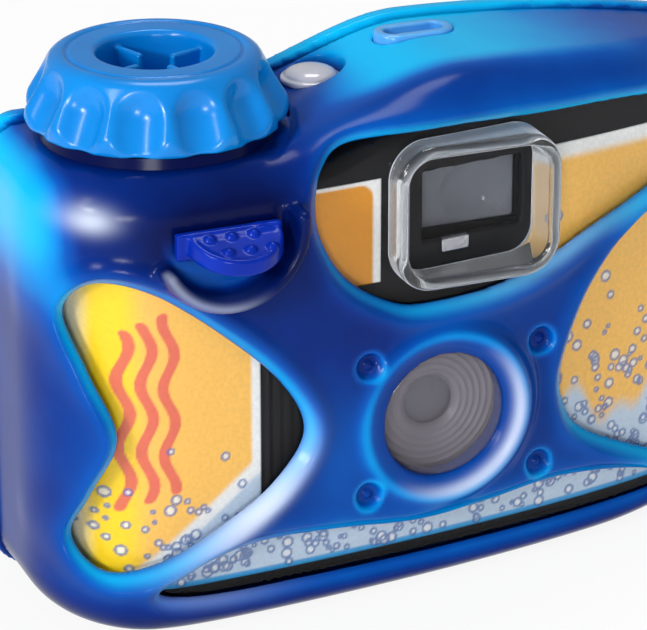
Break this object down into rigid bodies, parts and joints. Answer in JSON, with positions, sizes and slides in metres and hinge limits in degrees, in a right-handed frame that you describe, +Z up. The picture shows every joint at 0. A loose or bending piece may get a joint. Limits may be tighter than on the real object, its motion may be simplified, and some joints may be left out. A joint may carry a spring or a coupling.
{
  "type": "disposable film camera",
  "caption": "Waterproof single-use film camera in a translucent case with clear windows, a winding knob on top and a shutter lever on the front.",
  "frame": {"origin": "on the flat bottom of the case, under the lens axis and level with the cartridge axis", "axes": "+X to the right end seen from the front, -Y along the lens's view, +Z up"},
  "size_m": [0.1327, 0.0507, 0.0866],
  "materials": {
    "case_blue": "satin translucent moulding",
    "gland_blue": "satin translucent moulding",
    "clear_pane": "clear polished moulding",
    "port_glass": "clear polished moulding",
    "counter_dome": "clear polished moulding",
    "slot_blue": "gloss moulding",
    "knob_blue": "gloss moulding",
    "lever_blue": "gloss moulding",
    "seal_rubber": "moulded",
    "steel": "drawn",
    "inner_black": "matt moulding",
    "label_print": "coated printed card",
    "lens_clear": "polished moulding",
    "release_orange": "moulded",
    "disc_white": "moulded",
    "cartridge_metal": "lacquered tinplate",
    "film": "coated film"
  },
  "bodies": {
    "case": {"front_shell": "case_blue", "rear_shell": "case_blue", "case_gasket": "seal_rubber", "left_window": "clear_pane", "finder_window": "clear_pane", "right_window": "clear_pane", "lower_window": "clear_pane", "lens_port": "port_glass", "eyepiece_window": "clear_pane", "counter_lens": "counter_dome", "slot_insert": "slot_blue", "strap_eye": "case_blue", "knob_gland": "gland_blue", "knob_oring": "seal_rubber", "lever_gland": "gland_blue", "lever_oring": "seal_rubber", "lever_spring": "steel", "front_cover": "inner_black", "back_cover": "inner_black", "front_label": "label_print", "chassis": "inner_black", "taking_lens": "lens_clear", "lens_retainer": "inner_black", "finder_front_lens": "lens_clear", "finder_eye_lens": "lens_clear", "blade_spring": "steel", "wheel_pawl": "inner_black", "cartridge_shell": "cartridge_metal", "cartridge_caps": "cartridge_metal", "film_strip": "film"},
    "advance": {"advance_knob": "knob_blue", "knob_shaft": "steel", "thumbwheel": "inner_black", "cartridge_spool": "inner_black"},
    "sprocket": {"sprocket_wheel": "inner_black"},
    "supply": {"film_roll": "film", "supply_spool": "inner_black"},
    "counter": {"counter_disc": "disc_white"},
    "lever": {"shutter_lever": "lever_blue", "lever_shaft": "steel", "lever_arm": "inner_black"},
    "release": {"release_slide": "release_orange"},
    "striker": {"striker": "steel"},
    "blade": {"shutter_blade": "inner_black"}
  },
  "joints": [
    {"name": "knob_turn", "type": "hinge", "parent": "case", "child": "advance", "pos_m": [-0.039, 0, 0], "axis": [0, 0, 1], "continuous": true},
    {"name": "sprocket_turn", "type": "hinge", "parent": "case", "child": "sprocket", "pos_m": [-0.018, 0.0053, 0], "axis": [0, 0, 1], "continuous": true},
    {"name": "supply_turn", "type": "hinge", "parent": "case", "child": "supply", "pos_m": [0.032, 0.0018, 0], "axis": [0, 0, 1], "continuous": true},
    {"name": "counter_turn", "type": "hinge", "parent": "case", "child": "counter", "pos_m": [-0.0098, 0.0065, 0], "axis": [0, 0, 1], "continuous": true},
    {"name": "lever_press", "type": "hinge", "parent": "case", "child": "lever", "pos_m": [-0.0315, 0, 0.0631], "axis": [0, -1, 0], "range_deg": [0, 8], "stiffness_Nm_per_rad": 0.4},
    {"name": "release_push", "type": "slide", "parent": "case", "child": "release", "axis": [0, 0, -1], "range_m": [0, 0.0014]},
    {"name": "striker_swing", "type": "hinge", "parent": "case", "child": "striker", "pos_m": [-0.009, 0, 0.0435], "axis": [0, -1, 0], "range_deg": [0, 15], "stiffness_Nm_per_rad": 0.02},
    {"name": "blade_swing", "type": "hinge", "parent": "case", "child": "blade", "pos_m": [0.007, 0, 0.0355], "axis": [0, -1, 0], "range_deg": [0, 25], "stiffness_Nm_per_rad": 0.005}
  ],
  "couplings": [
    {"joint": "sprocket_turn", "follows": "knob_turn", "ratio": 1.32},
    {"joint": "supply_turn", "follows": "knob_turn", "ratio": 0.88},
    {"joint": "counter_turn", "follows": "knob_turn", "ratio": -0.044},
    {"joint": "release_push", "follows": "lever_press", "m_per_rad": 0.01}
  ]
}
